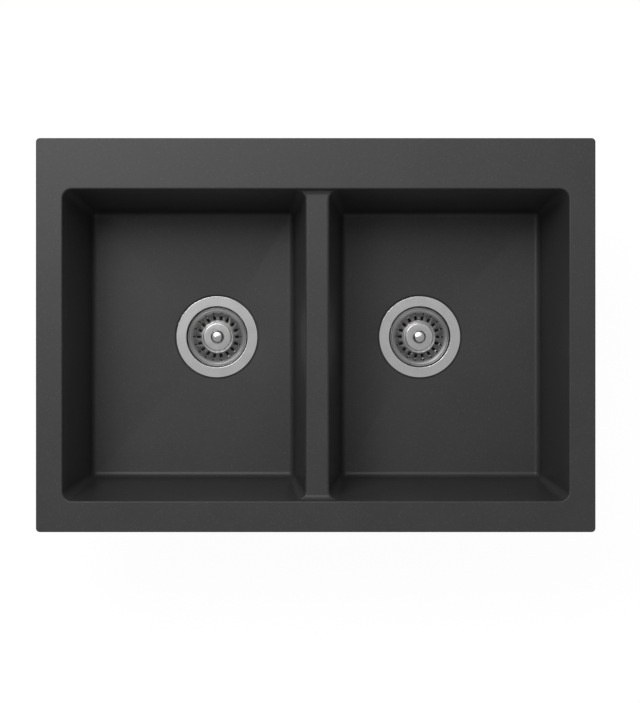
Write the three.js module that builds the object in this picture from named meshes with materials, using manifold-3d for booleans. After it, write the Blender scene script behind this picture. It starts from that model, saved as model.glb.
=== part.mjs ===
// A drop-in kitchen sink with two bowls, moulded in dark stone composite, with its two basket strainers and
// wastes and the eight clamps that hold it down in the worktop.
//
// Millimetres. +X is to the right, +Y to the rear and +Z up. The origin is the middle of the rim's outline, on
// the plane where the rim lies on the worktop. Depths called drop are measured down from the rim's top face.

import * as THREE from 'three';
import { mergeVertices } from 'three/addons/utils/BufferGeometryUtils.js';
import Module from 'manifold-3d';

const wasm = await Module();
wasm.setup();

// -------------------------------------------------------------------------------------- driving dimensions

// Rim
const sinkWidth = 710;
const sinkDepth = 500;
const rimThickness = 9;
const rimCorner = 5;
const rimEdgeRound = 1.6;
const sideLedge = 33.5;
const rearLedge = 64.5;
const frontLedge = 39.5;

// Bowls
const bowlDepth = 190; // rim top to the edge of the floor
const floorFall = 3; // from the floor's edge to the drain
const draftAngle = 5.5; // degrees that every wall leans
const wallThickness = 9;
const floorThickness = 10;
const mouthCorner = 12; // plan radius of a bowl's corners at the rim
const footCorner = 7.5; // the same at the foot of the walls
const sharpestCorner = 0.8;
const mouthRound = 2;
const floorFillet = 8.5;

// Divider between the bowls
const dividerWidth = 30;
const dividerDrop = 10; // its top lies this far below the rim
const dividerOffset = 2; // the left bowl is a little wider
const dividerRound = 3.5;
const dividerEndFillet = 7.5;
const dividerBeamThickness = 12;
const dividerWebThickness = 6;
const dividerWebDrop = 80;
const dividerWebSpacing = 190;

// Underside of the rim
const cutoutMargin = 10; // the worktop's cut-out lies this far inside the rim's edge
const sealGrooveInset = 5;
const sealGrooveWidth = 4;
const sealGrooveDepth = 2.5;
const tapHoleRadius = 17.5; // blind recesses, knocked through for a tap
const tapHoleSkin = 4;
const tapHoleSetback = 33; // from the rear edge
const tapHoleSpacing = 100;

// Drains
const drainSpacing = 275.4;
const drainOffset = 3.1; // middle of the two drains, from the middle of the rim
const drainSetback = 2; // in front of the middle of the rim
const drainHoleRadius = 45;
const drainSeatRadius = 63;
const drainSeatThickness = 12;

// Strainer cup, pressed in sheet steel. Heights are below the bowl's floor at the drain.
const sheet = 1.2;
const flangeRadius = 56;
const flangeCrown = 0.7;
const flangeSealThickness = 1.2;
const recessDepth = 2.6;
const cupRadius = 41.4;
const cupShoulderDepth = 17;
const cupThroatRadius = 35.2;
const cupFootRadius = 31.5;
const cupDepth = 34;
const cupSlots = 6;
const cupSlotInner = 10.5;
const cupSlotOuter = 22.5;
const cupBridge = 4; // metal left between two slots

// Basket that lifts out
const basketSheet = 1;
const basketRimDepth = 6.8;
const basketRimRadius = 40;
const basketMouthRadius = 33.4;
const basketFootRadius = 28.6;
const basketFloorDepth = 29;
const basketDomeRadius = 21.8;
const basketDomeDepth = 14;
const basketSlots = 18;
const basketSlotInner = 24.6;
const basketSlotWidth = 2.6;
const capRadius = 19.3;
const capThickness = 2.6;
const knobRadius = 8.7;
const knobNeckRadius = 5;
const knobHeight = 9.4;
const stemRadius = 3.1;
const stopperRadius = 29.4;
const stopperThickness = 1.6;

// Waste under the bowl
const seatSealThickness = 3;
const wasteWall = 3;
const wasteFlangeRadius = 56;
const wasteFlangeThickness = 4;
const wasteNeckRadius = 47.5;
const wasteShoulderDepth = 40;
const wasteHipRadius = 44.5;
const spigotRadius = 24;
const spigotTopDepth = 56;
const spigotEndDepth = 84;
const hubRadius = 7;
const hubLength = 15;
const hubSpokes = 3;
const screwRadius = 3;
const screwHeadRadius = 6.6;
const screwHeadHeight = 7;
const screwSocketDepth = 6;
const outletNutRadius = 31;
const outletNutHeight = 19;
const outletNutRibs = 8;
const outletNutRibHeight = 1.6;
const outletNutLip = 2.4;
const outletWasherThickness = 3;

// Worktop clamps
const worktopThickness = 30;
const clampInset = 7.5; // from the edge of the cut-out to the clamp's screw
const sideClampSpacing = 230;
const endClampSpacing = 360;
const bossRadius = 6.5;
const bossDrop = 12;
const gussetThickness = 5;
const gussetDrop = 22;
const insertRadius = 4.3;
const insertLength = 10;
const insertCollarRadius = 5.6;
const insertCollarThickness = 1;
const clampScrewRadius = 2.5;
const clampHeadRadius = 5.2;
const clampHeadThickness = 1.2;
const clampHexRadius = 4.4;
const clampHexHeight = 3.4;
const clampThickness = 2;
const clampWidth = 13;
const clampReach = 24;
const clampToeHeight = 6;
const clampTeeth = 3;
const clampToothDepth = 1.5;
const clampFootWidth = 8;

// Clearances
const sealGap = 0.3; // round a strip or ring in its groove
const recessGap = 0.8; // between the flange and the edge of its recess
const slideGap = 0.3; // between pieces that slide, turn or seat loosely

// Steps of the curves
const cornerSteps = 3;
const roundSteps = 2;
const filletSteps = 3;
const sidePoints = 2; // extra points on each straight side of a bowl
const sectorSteps = 3; // of a cup slot's arcs
const cupSegments = 24;
const ringSegments = 18;
const smallSegments = 14;
const screwSegments = 8;

// ------------------------------------------------------------------------------------------ derived values

const draft = THREE.MathUtils.degToRad(draftAngle);
const wallOffset = wallThickness / Math.cos(draft);
const mouthHalfWidth = sinkWidth / 2 - sideLedge;
const mouthRear = sinkDepth / 2 - rearLedge;
const mouthFront = -(sinkDepth / 2 - frontLedge);
const drainDrop = bowlDepth + floorFall;
const drainLevel = rimThickness - drainDrop;
const recessRadius = flangeRadius + recessGap;
const bowlSides = [['left', -1], ['right', 1]];

// ------------------------------------------------------------------------------------------- solid helpers

// A closed geometry as a solid that can be joined and cut.
function toSolid(geometry) {
  const bare = geometry.clone();
  bare.deleteAttribute('normal');
  bare.deleteAttribute('uv');
  const welded = mergeVertices(bare, 1e-4);
  const corners = [];
  for (let i = 0; i < welded.index.count; i += 3) {
    const [a, b, c] = [0, 1, 2].map((k) => welded.index.getX(i + k));
    if (a !== b && b !== c && c !== a) corners.push(a, b, c);
  }
  return new wasm.Manifold(new wasm.Mesh({
    numProp: 3,
    vertProperties: new Float32Array(welded.attributes.position.array),
    triVerts: new Uint32Array(corners),
  }));
}

function toGeometry(solid) {
  const mesh = solid.getMesh();
  const geometry = new THREE.BufferGeometry();
  geometry.setAttribute('position', new THREE.BufferAttribute(mesh.vertProperties, 3));
  geometry.setIndex(new THREE.BufferAttribute(mesh.triVerts, 1));
  geometry.computeVertexNormals();
  return geometry;
}

function joined(solids) {
  return solids.reduce((whole, piece) => whole.add(piece));
}

// A solid of revolution about Z from [radius, height] pairs, listed anticlockwise. An outline that leaves the
// axis comes back to it, and any other closes on itself.
function revolved(outline, segments) {
  const points = outline.map(([radius, height]) => new THREE.Vector2(radius, height));
  if (outline[0][0] > 0) points.push(points[0].clone());
  return toSolid(new THREE.LatheGeometry(points, segments).rotateX(Math.PI / 2));
}

// The radius at which a bore's facets just clear a round piece that slides, turns or stands in it.
function boreRadius(radius, segments) {
  return (radius + slideGap) / Math.cos(Math.PI / segments);
}

// A plain ring with a rectangular section.
function ring(inner, outer, bottom, top, segments) {
  return revolved([[inner, bottom], [outer, bottom], [outer, top], [inner, top]], segments);
}

function cylinder(radius, bottom, top, segments) {
  return revolved([[0, bottom], [radius, bottom], [radius, top], [0, top]], segments);
}

// An outline in plan carried straight up from one height to another.
function raised(shape, bottom, top) {
  const options = { depth: top - bottom, bevelEnabled: false, curveSegments: sectorSteps };
  return toSolid(new THREE.ExtrudeGeometry(shape, options).translate(0, 0, bottom));
}

// An outline in the plane of X and Z, given a width along Y about the middle.
function broad(points, width) {
  const shape = new THREE.Shape(points.map(([x, z]) => new THREE.Vector2(x, z)));
  const geometry = new THREE.ExtrudeGeometry(shape, { depth: width, bevelEnabled: false });
  return toSolid(geometry.rotateX(Math.PI / 2).translate(0, width / 2, 0));
}

// Moves a solid to a place in plan after turning it about Z.
function placed(solid, x, y, degrees = 0) {
  return solid.rotate([0, 0, degrees]).translate([x, y, 0]);
}

// The closed outline of a sheet of even thickness, from the face that is seen, listed outwards. The other
// face lies to the right of it, and the corners are mitred.
function sheetOutline(face, thickness) {
  const normals = face.slice(1).map(([x, z], i) => {
    const along = new THREE.Vector2(x - face[i][0], z - face[i][1]).normalize();
    return new THREE.Vector2(along.y, -along.x);
  });
  const back = face.map(([x, z], i) => {
    const before = normals[Math.max(i - 1, 0)];
    const after = normals[Math.min(i, normals.length - 1)];
    const reach = thickness / (1 + before.dot(after));
    return [x + reach * (before.x + after.x), z + reach * (before.y + after.y)];
  });
  return [...back, ...face.toReversed()];
}

// ----------------------------------------------------------------------------------------- lofted outlines

// A rounded rectangle in plan at one height, anticlockwise from the right side's rear end.
function roundedOutline({ left, right, front, rear }, radius, z, pointsPerSide = 0) {
  const centres = [
    [right - radius, rear - radius],
    [left + radius, rear - radius],
    [left + radius, front + radius],
    [right - radius, front + radius],
  ];
  const arcs = centres.map(([x, y], quarter) => Array.from({ length: cornerSteps + 1 }, (_, step) => {
    const angle = (quarter + step / cornerSteps) * Math.PI / 2;
    return new THREE.Vector3(x + radius * Math.cos(angle), y + radius * Math.sin(angle), z);
  }));
  return arcs.flatMap((arc, quarter) => {
    const next = arcs[(quarter + 1) % arcs.length][0];
    const side = Array.from({ length: pointsPerSide }, (_, i) => (
      arc.at(-1).clone().lerp(next, (i + 1) / (pointsPerSide + 1))
    ));
    return [...arc, ...side];
  });
}

// A circle with as many points as a rounded outline, starting at the same corner.
function roundOutline(x, y, radius, z, count) {
  return Array.from({ length: count }, (_, i) => {
    const angle = Math.PI / 4 + (i - cornerSteps / 2) * 2 * Math.PI / count;
    return new THREE.Vector3(x + radius * Math.cos(angle), y + radius * Math.sin(angle), z);
  });
}

// A closed solid through level outlines that have as many points each, listed from the lowest to the highest.
function loft(outlines) {
  const count = outlines[0].length;
  const middleOf = (outline) => (
    outline.reduce((sum, point) => sum.add(point), new THREE.Vector3()).divideScalar(count)
  );
  const points = [...outlines.flat(), middleOf(outlines[0]), middleOf(outlines.at(-1))];
  const bottom = count * outlines.length;
  const corners = [];
  for (let i = 0; i < count; i++) {
    const next = (i + 1) % count;
    for (let low = 0; low < bottom - count; low += count) {
      const high = low + count;
      corners.push(low + i, low + next, high + next, low + i, high + next, high + i);
    }
    corners.push(bottom, next, i, bottom + 1, bottom - count + i, bottom - count + next);
  }
  const geometry = new THREE.BufferGeometry().setFromPoints(points);
  geometry.setIndex(corners);
  return toSolid(geometry);
}

// ----------------------------------------------------------------------------------------------- sink body

// One face of a leaning wall: how far in from its top edge it stands at each drop. It has a round at the top
// edge, a straight stretch and a fillet at its foot. drops lists the depths that the two curves need.
function wallFace({ top, round, foot, fillet, offset = 0 }) {
  const straight = (drop) => (drop - top) * Math.tan(draft) - offset;
  const roundEnd = top + round * (1 - Math.sin(draft));
  const filletStart = foot - fillet * (1 - Math.sin(draft));
  const inset = (drop) => {
    if (round > 0 && drop < roundEnd) {
      const turn = Math.acos(1 - Math.max(drop - top, 0) / round);
      return straight(top + round) - round / Math.cos(draft) + round * Math.sin(turn);
    }
    if (drop > filletStart) {
      const turn = Math.asin(Math.min((drop - foot) / fillet + 1, 1));
      return straight(foot - fillet) + fillet / Math.cos(draft) - fillet * Math.cos(turn);
    }
    return straight(drop);
  };
  const turns = (count) => Array.from({ length: count + 1 }, (_, i) => (i / count) * (Math.PI / 2 - draft));
  const roundDrops = turns(roundSteps).map((turn) => top + round * (1 - Math.cos(turn)));
  const filletDrops = turns(filletSteps).map((turn) => foot - fillet * (1 - Math.sin(draft + turn)));
  return { inset, straight, drops: [...(round > 0 ? roundDrops : []), ...filletDrops] };
}

const outerFace = wallFace({ top: 0, round: mouthRound, foot: bowlDepth, fillet: floorFillet });
const dividerFace = wallFace({ top: dividerDrop, round: dividerRound, foot: bowlDepth, fillet: floorFillet });
const saddleFace = wallFace({ top: 0, round: mouthRound, foot: dividerDrop, fillet: dividerEndFillet });

// The outside of the walls, parallel to the inside.
function shellFace(top) {
  const fillet = floorFillet + wallThickness;
  return wallFace({ top, round: 0, foot: bowlDepth + floorThickness, fillet, offset: wallOffset });
}

// A bowl's plan, from how far in its outer walls and its divider wall stand.
function bowlPlan(side, wallInset, dividerInset) {
  const outer = side * (mouthHalfWidth - wallInset);
  const inner = dividerOffset + side * (dividerWidth / 2 + dividerInset);
  return {
    left: Math.min(outer, inner),
    right: Math.max(outer, inner),
    front: mouthFront + wallInset,
    rear: mouthRear - wallInset,
  };
}

// The outline of a bowl at one drop. Its corners tighten towards the floor.
function bowlOutline(side, drop, outer, inner, cornerGrowth) {
  const inset = outer.inset(drop);
  const share = THREE.MathUtils.clamp(drop / bowlDepth, 0, 1);
  const corner = THREE.MathUtils.lerp(mouthCorner, footCorner, share) + cornerGrowth;
  const radius = Math.max(corner - (inset - outer.straight(Math.max(drop, 0))), sharpestCorner);
  return roundedOutline(bowlPlan(side, inset, inner.inset(drop)), radius, rimThickness - drop, sidePoints);
}

function drainPlace(side) {
  return { x: drainOffset + side * drainSpacing / 2, y: -drainSetback };
}

// What a bowl takes out of the block: its hollow with the fall of its floor, the recess and the drain hole.
function bowlHollow(side) {
  const above = -1;
  const drops = [...new Set([above, ...outerFace.drops, ...dividerFace.drops])].sort((a, b) => b - a);
  const walls = drops.map((drop) => bowlOutline(side, drop, outerFace, dividerFace, 0));
  const { x, y } = drainPlace(side);
  const below = drainSeatThickness + 1;
  const drain = [
    [drainHoleRadius, below],
    [drainHoleRadius, recessDepth],
    [recessRadius, recessDepth],
    [recessRadius, 0],
  ];
  const count = walls[0].length;
  const rounds = drain.map(([radius, depth]) => roundOutline(x, y, radius, drainLevel - depth, count));
  return loft([...rounds, ...walls]);
}

// The outside of a bowl, with the thicker seat round its drain.
function bowlShell(side) {
  const outer = shellFace(0);
  const inner = shellFace(dividerDrop);
  const beamMiddle = dividerDrop + dividerBeamThickness / 2;
  const drops = [rimThickness / 2, beamMiddle, ...outer.drops].sort((a, b) => b - a);
  const shell = loft(drops.map((drop) => bowlOutline(side, drop, outer, inner, wallThickness)));
  const { x, y } = drainPlace(side);
  const seatTop = rimThickness - bowlDepth - floorThickness / 2;
  const seat = cylinder(drainSeatRadius, drainLevel - drainSeatThickness, seatTop, cupSegments);
  return shell.add(placed(seat, x, y));
}

function rimPlate() {
  const plan = (inset) => ({
    left: -sinkWidth / 2 + inset,
    right: sinkWidth / 2 - inset,
    front: -sinkDepth / 2 + inset,
    rear: sinkDepth / 2 - inset,
  });
  const edge = Array.from({ length: roundSteps + 1 }, (_, i) => {
    const turn = (i / roundSteps) * Math.PI / 2;
    const inset = rimEdgeRound * (1 - Math.cos(turn));
    const z = rimThickness - rimEdgeRound * (1 - Math.sin(turn));
    return roundedOutline(plan(inset), rimCorner - inset, z);
  });
  return loft([roundedOutline(plan(0), rimCorner, 0), ...edge]);
}

// The beam under the divider's top and the webs that tie the bowls together below it.
function dividerBeam() {
  const reach = (drop) => dividerWidth / 2 + dividerFace.straight(drop) - wallThickness / 2;
  const section = (top, bottom) => [
    [-reach(bottom), rimThickness - bottom],
    [reach(bottom), rimThickness - bottom],
    [reach(top), rimThickness - top],
    [-reach(top), rimThickness - top],
  ];
  const length = mouthRear - mouthFront + wallThickness;
  const middle = (mouthRear + mouthFront) / 2;
  const beamBottom = dividerDrop + dividerBeamThickness;
  const beam = broad(section(dividerDrop - dividerRound, beamBottom), length);
  const webs = [-0.5, 0.5].map((share) => {
    const web = broad(section(dividerDrop + dividerRound, dividerWebDrop), dividerWebThickness);
    return web.translate([dividerOffset, middle + share * dividerWebSpacing, 0]);
  });
  return joined([beam.translate([dividerOffset, middle, 0]), ...webs]);
}

// The low saddle over the divider: flat on top, with a fillet up to the rim at each end.
function dividerSaddle() {
  const drops = [-1, ...saddleFace.drops];
  const rear = drops.map((drop) => [mouthRear - saddleFace.inset(drop), rimThickness - drop]);
  const front = drops.map((drop) => [mouthFront + saddleFace.inset(drop), rimThickness - drop]);
  const width = dividerWidth + 2 * mouthCorner;
  const section = broad([...front, ...rear.toReversed()], width);
  return section.rotate([0, 0, 90]).translate([dividerOffset, 0, 0]);
}

// A frame in plan, between two insets from the rim's edge.
function rimFrame(outerInset, innerInset, bottom, top) {
  const prism = (inset, low, high) => {
    const plan = {
      left: -sinkWidth / 2 + inset,
      right: sinkWidth / 2 - inset,
      front: -sinkDepth / 2 + inset,
      rear: sinkDepth / 2 - inset,
    };
    const radius = Math.max(rimCorner - inset, sharpestCorner);
    return loft([roundedOutline(plan, radius, low), roundedOutline(plan, radius, high)]);
  };
  return prism(outerInset, bottom, top).subtract(prism(innerInset, bottom - 1, top + 1));
}

function tapHoleRecesses() {
  const y = sinkDepth / 2 - tapHoleSetback;
  return joined([-1, 0, 1].map((step) => {
    const recess = cylinder(tapHoleRadius, -1, rimThickness - tapHoleSkin, ringSegments);
    return placed(recess, dividerOffset + step * tapHoleSpacing, y);
  }));
}

// Where the clamps are: in plan, with the direction that points out of the sink.
function clampPlaces() {
  const x = sinkWidth / 2 - cutoutMargin - clampInset;
  const y = sinkDepth / 2 - cutoutMargin - clampInset;
  const middle = (mouthRear + mouthFront) / 2;
  const along = endClampSpacing / 2;
  const across = sideClampSpacing / 2;
  const sideGap = x - mouthHalfWidth - outerWallReach();
  const frontGap = y + mouthFront - outerWallReach();
  const rearGap = y - mouthRear - outerWallReach();
  return [
    { x: -along, y: -y, outward: 270, fromWall: frontGap },
    { x: along, y: -y, outward: 270, fromWall: frontGap },
    { x, y: middle - across, outward: 0, fromWall: sideGap },
    { x, y: middle + across, outward: 0, fromWall: sideGap },
    { x: along, y, outward: 90, fromWall: rearGap },
    { x: -along, y, outward: 90, fromWall: rearGap },
    { x: -x, y: middle + across, outward: 180, fromWall: sideGap },
    { x: -x, y: middle - across, outward: 180, fromWall: sideGap },
  ];
}

// How far the outside of a wall stands out from the bowl's mouth at the underside of the rim.
function outerWallReach() {
  return -shellFace(0).straight(rimThickness);
}

// A boss for a clamp's insert, tied to the bowl's wall by a gusset.
function clampBoss({ x, y, outward, fromWall }) {
  const overlap = rimThickness / 2;
  const root = -(fromWall + wallThickness / 2);
  const boss = cylinder(bossRadius, -bossDrop, overlap, screwSegments);
  const gusset = broad([
    [root, -gussetDrop],
    [-bossRadius / 2, -bossDrop / 2],
    [-bossRadius / 2, overlap],
    [root, overlap],
  ], gussetThickness);
  return placed(boss.add(gusset), x, y, outward);
}

function clampHole({ x, y }) {
  const depth = bossDrop - insertLength - slideGap;
  const radius = boreRadius(insertRadius, screwSegments);
  return placed(cylinder(radius, -bossDrop - 1, -depth, screwSegments), x, y);
}

function sinkBody() {
  const block = [rimPlate(), dividerBeam(), ...clampPlaces().map(clampBoss)];
  const hollows = [dividerSaddle(), tapHoleRecesses(), ...clampPlaces().map(clampHole)];
  for (const [, side] of bowlSides) {
    block.push(bowlShell(side));
    hollows.push(bowlHollow(side));
  }
  hollows.push(rimFrame(sealGrooveInset, sealGrooveInset + sealGrooveWidth, -1, sealGrooveDepth));
  return hollows.reduce((body, hollow) => body.subtract(hollow), joined(block));
}

// The foam strip that seals the rim on the worktop, flush with its underside.
function rimSeal() {
  const inner = sealGrooveInset + sealGrooveWidth - sealGap;
  return rimFrame(sealGrooveInset + sealGap, inner, 0, sealGrooveDepth - sealGap);
}

// -------------------------------------------------------------------------------------------- strainer cup

// The ring sector between two radii, with straight bridges of even width left on each side of it.
function sectorShape(inner, outer, count, bridge) {
  const half = Math.PI / count;
  const innerTurn = half - Math.asin(bridge / 2 / inner);
  const outerTurn = half - Math.asin(bridge / 2 / outer);
  const shape = new THREE.Shape();
  shape.absarc(0, 0, outer, -outerTurn, outerTurn, false);
  shape.absarc(0, 0, inner, innerTurn, -innerTurn, true);
  return shape;
}

function around(solid, count) {
  return joined(Array.from({ length: count }, (_, i) => solid.rotate([0, 0, i * 360 / count])));
}

const flangeUnderside = -recessDepth + flangeSealThickness;

// The cup with its flange, shoulder, tapered throat and slotted bottom, open in the middle for the screw.
function strainerCup() {
  const flangeTop = flangeUnderside + sheet;
  const crown = flangeTop + flangeCrown;
  const bend = 2.4 * sheet;
  const face = [
    [boreRadius(screwRadius, cupSegments), -cupDepth],
    [cupFootRadius - sheet, -cupDepth],
    [cupFootRadius, -cupDepth + sheet],
    [cupThroatRadius, -cupShoulderDepth],
    [cupRadius - sheet, -cupShoulderDepth + sheet],
    [cupRadius, crown - bend],
    [cupRadius + bend / 3, crown - bend / 4],
    [cupRadius + bend, crown],
    [flangeRadius - bend, crown - flangeCrown / 4],
    [flangeRadius, flangeTop],
  ];
  const cup = revolved(sheetOutline(face, sheet), cupSegments);
  const opening = sectorShape(cupSlotInner, cupSlotOuter, cupSlots, cupBridge);
  const slot = raised(opening, -cupDepth - 2 * sheet, -cupDepth + sheet);
  return cup.subtract(around(slot, cupSlots));
}

function flangeSeal() {
  const inner = drainHoleRadius + sealGap;
  return ring(inner, flangeRadius - sheet, -recessDepth, flangeUnderside, ringSegments);
}

// -------------------------------------------------------------------------------------------------- basket

// The basket: a rim, a slotted cone, a floor, and a raised dome in the middle for the cap and the knob.
function basket() {
  const bend = basketSheet;
  const face = [
    [boreRadius(stemRadius, cupSegments), -basketDomeDepth],
    [basketDomeRadius - bend, -basketDomeDepth],
    [basketDomeRadius, -basketDomeDepth - bend],
    [basketDomeRadius, -basketFloorDepth],
    [basketFootRadius, -basketFloorDepth],
    [basketMouthRadius, -basketRimDepth - bend],
    [basketMouthRadius + bend, -basketRimDepth],
    [basketRimRadius, -basketRimDepth],
  ];
  const pressed = revolved(sheetOutline(face, basketSheet), cupSegments);
  const slotTop = -basketRimDepth - 2.5 * bend;
  const slotBottom = -basketFloorDepth - 2 * basketSheet;
  const slot = broad([
    [basketSlotInner, slotBottom],
    [basketRimRadius, slotBottom],
    [basketRimRadius, slotTop],
    [basketSlotInner, slotTop],
  ], basketSlotWidth);
  return pressed.subtract(around(slot, basketSlots));
}

// The round plate on top of the dome.
function basketCap() {
  const bottom = -basketDomeDepth;
  const top = bottom + capThickness;
  const round = capThickness / 3;
  const bore = boreRadius(stemRadius, cupSegments);
  return revolved([
    [bore, bottom],
    [capRadius, bottom],
    [capRadius, top - round],
    [capRadius - round, top],
    [bore, top],
  ], cupSegments);
}

const knobFoot = -basketDomeDepth + capThickness;
const knobTop = knobFoot + knobHeight;
const knobSocketTop = knobFoot + knobHeight / 2;

// The mushroom knob, with a blind hole for the stem.
function knob() {
  const bore = boreRadius(stemRadius, smallSegments);
  return revolved([
    [bore, knobFoot],
    [knobNeckRadius, knobFoot],
    [knobNeckRadius, knobTop - 0.6 * knobHeight],
    [knobRadius, knobTop - 0.4 * knobHeight],
    [0.9 * knobRadius, knobTop - 0.12 * knobHeight],
    [0.55 * knobRadius, knobTop],
    [0, knobTop],
    [0, knobSocketTop],
    [bore, knobSocketTop],
  ], smallSegments);
}

const screwHeadTop = -cupDepth + screwHeadHeight;
const stemEnd = screwHeadTop - screwSocketDepth + slideGap;

function stem() {
  const tip = stemRadius / 2;
  return revolved([
    [0, stemEnd],
    [stemRadius - tip / 2, stemEnd],
    [stemRadius, stemEnd + tip],
    [stemRadius, knobSocketTop - slideGap],
    [0, knobSocketTop - slideGap],
  ], screwSegments);
}

// The rubber disc under the basket, whose lip closes on the bottom of the cup.
function stopperSeal() {
  const top = -basketFloorDepth - basketSheet;
  const lip = -cupDepth + slideGap;
  const inner = screwHeadRadius + 2;
  return revolved([
    [inner, top - stopperThickness],
    [cupSlotOuter + stopperThickness, top - stopperThickness],
    [stopperRadius - stopperThickness, lip],
    [stopperRadius, lip],
    [stopperRadius - stopperThickness, top],
    [inner, top],
  ], ringSegments);
}

// --------------------------------------------------------------------------------------------------- waste

const seatSealTop = -drainSeatThickness;
const wasteTop = seatSealTop - seatSealThickness;
const hubTop = -spigotTopDepth + hubLength / 2;

function seatSeal() {
  return ring(drainHoleRadius + sealGap, wasteFlangeRadius - 1, wasteTop, seatSealTop, ringSegments);
}

// The moulded waste: a flange, a funnel round the cup and an outlet spigot, with a spoked hub for the screw.
function wasteBody() {
  const bore = spigotRadius - wasteWall;
  const outside = [
    [spigotRadius, -spigotEndDepth],
    [spigotRadius, -spigotTopDepth],
    [wasteHipRadius, -wasteShoulderDepth],
    [wasteNeckRadius, wasteTop - wasteFlangeThickness],
    [wasteFlangeRadius, wasteTop - wasteFlangeThickness],
    [wasteFlangeRadius, wasteTop],
  ];
  const inside = [
    [wasteNeckRadius - wasteWall, wasteTop],
    [wasteHipRadius - wasteWall, -wasteShoulderDepth],
    [bore, -spigotTopDepth],
    [bore, -spigotEndDepth],
  ];
  const shell = revolved([...outside, ...inside], ringSegments);
  const hub = cylinder(hubRadius, hubTop - hubLength, hubTop, smallSegments);
  const spoke = broad([
    [0, hubTop - hubLength],
    [spigotRadius - wasteWall / 2, hubTop - hubLength],
    [spigotRadius - wasteWall / 2, -spigotTopDepth],
    [hubRadius, hubTop],
    [0, hubTop],
  ], wasteWall);
  const bored = boreRadius(screwRadius, screwSegments);
  const screwHole = cylinder(bored, hubTop - hubLength - 1, hubTop + 1, screwSegments);
  return joined([shell, hub, around(spoke, hubSpokes)]).subtract(screwHole);
}

// The long screw through the cup into the hub. The stem of the basket drops into the socket in its head.
function centreScrew() {
  const socket = screwHeadTop - screwSocketDepth;
  const bore = boreRadius(stemRadius, smallSegments);
  return revolved([
    [0, hubTop - hubLength],
    [screwRadius, hubTop - hubLength],
    [screwRadius, -cupDepth],
    [screwHeadRadius, -cupDepth],
    [screwHeadRadius, screwHeadTop],
    [bore, screwHeadTop],
    [bore, socket],
    [0, socket],
  ], smallSegments);
}

function outletWasher() {
  const top = -spigotEndDepth;
  return ring(spigotRadius - wasteWall, spigotRadius, top - outletWasherThickness, top, ringSegments);
}

// The coupling nut, with grip ribs round it and a lip that holds the washer against the spigot.
function outletNut() {
  const washerBottom = -spigotEndDepth - outletWasherThickness;
  const bottom = washerBottom - outletNutLip;
  const top = bottom + outletNutHeight;
  const bore = boreRadius(spigotRadius, ringSegments);
  const body = revolved([
    [spigotRadius - wasteWall, bottom],
    [outletNutRadius - outletNutRibHeight, bottom],
    [outletNutRadius - outletNutRibHeight, top],
    [bore, top],
    [bore, washerBottom],
    [spigotRadius - wasteWall, washerBottom],
  ], ringSegments);
  const rib = broad([
    [bore + outletNutRibHeight, bottom + 1],
    [outletNutRadius, bottom + 1],
    [outletNutRadius, top - outletNutRibHeight],
    [bore + outletNutRibHeight, top - outletNutRibHeight],
  ], 2 * outletNutRibHeight);
  return body.add(around(rib, outletNutRibs));
}

// -------------------------------------------------------------------------------------------------- clamps

const collarBottom = -bossDrop - slideGap - insertCollarThickness;
const clampToeTop = -worktopThickness - slideGap;
const clampTop = clampToeTop - clampToeHeight + clampThickness;
const clampBottom = clampTop - clampThickness;

function clampInsert() {
  const bore = boreRadius(clampScrewRadius, screwSegments);
  const top = -bossDrop + insertLength;
  const collarTop = collarBottom + insertCollarThickness;
  return revolved([
    [bore, collarBottom],
    [insertCollarRadius, collarBottom],
    [insertCollarRadius, collarTop],
    [insertRadius, collarTop],
    [insertRadius, top],
    [bore, top],
  ], screwSegments);
}

function clampScrew() {
  const headTop = clampBottom - slideGap;
  const headBottom = headTop - clampHeadThickness;
  const shank = revolved([
    [0, headBottom],
    [clampHeadRadius, headBottom],
    [clampHeadRadius, headTop],
    [clampScrewRadius, headTop],
    [clampScrewRadius, -bossDrop + insertLength - clampScrewRadius],
    [0, -bossDrop + insertLength - clampScrewRadius],
  ], screwSegments);
  const hexTop = headTop - clampHeadThickness / 2;
  return shank.add(cylinder(clampHexRadius, headBottom - clampHexHeight, hexTop, 6));
}

// A clamp: a strip with a toothed toe that bears on the worktop and a foot that stands on the boss above it.
function clampStrip() {
  const heel = -bossRadius;
  const strip = broad([
    [heel, clampBottom],
    [clampReach, clampBottom],
    [clampReach, clampToeTop],
    [clampReach - clampThickness, clampToeTop],
    [clampReach - clampThickness, clampTop],
    [heel, clampTop],
  ], clampWidth);
  const foot = broad([
    [heel, clampBottom + clampThickness / 2],
    [heel + clampThickness, clampBottom + clampThickness / 2],
    [heel + clampThickness, collarBottom - slideGap],
    [heel, collarBottom - slideGap],
  ], clampFootWidth);
  const pitch = clampWidth / clampTeeth;
  const notches = Array.from({ length: clampTeeth - 1 }, (_, i) => {
    const notch = broad([[-pitch / 4, 1], [0, -clampToothDepth], [pitch / 4, 1]], 4 * clampThickness);
    const across = (i + 1 - clampTeeth / 2) * pitch;
    return notch.rotate([0, 0, 90]).translate([clampReach, across, clampToeTop]);
  });
  const bored = boreRadius(clampScrewRadius, screwSegments);
  const hole = cylinder(bored, clampBottom - 1, clampTop + 1, screwSegments);
  return strip.add(foot).subtract(hole).subtract(joined(notches));
}

// ------------------------------------------------------------------------------------------------ assembly

const finishes = {
  composite: { color: 0x464646, roughness: 0.62, metalness: 0 },
  steel: { color: 0xc4c4c4, roughness: 0.28, metalness: 1 },
  polished: { color: 0xd6d6d6, roughness: 0.14, metalness: 1 },
  rubber: { color: 0x1c1c1c, roughness: 0.85, metalness: 0 },
  foam: { color: 0x2a2a2a, roughness: 0.95, metalness: 0 },
  plastic: { color: 0x191919, roughness: 0.5, metalness: 0 },
  nylon: { color: 0xd9d6cc, roughness: 0.55, metalness: 0 },
  zinc: { color: 0xb3b5b2, roughness: 0.4, metalness: 1 },
};

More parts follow.
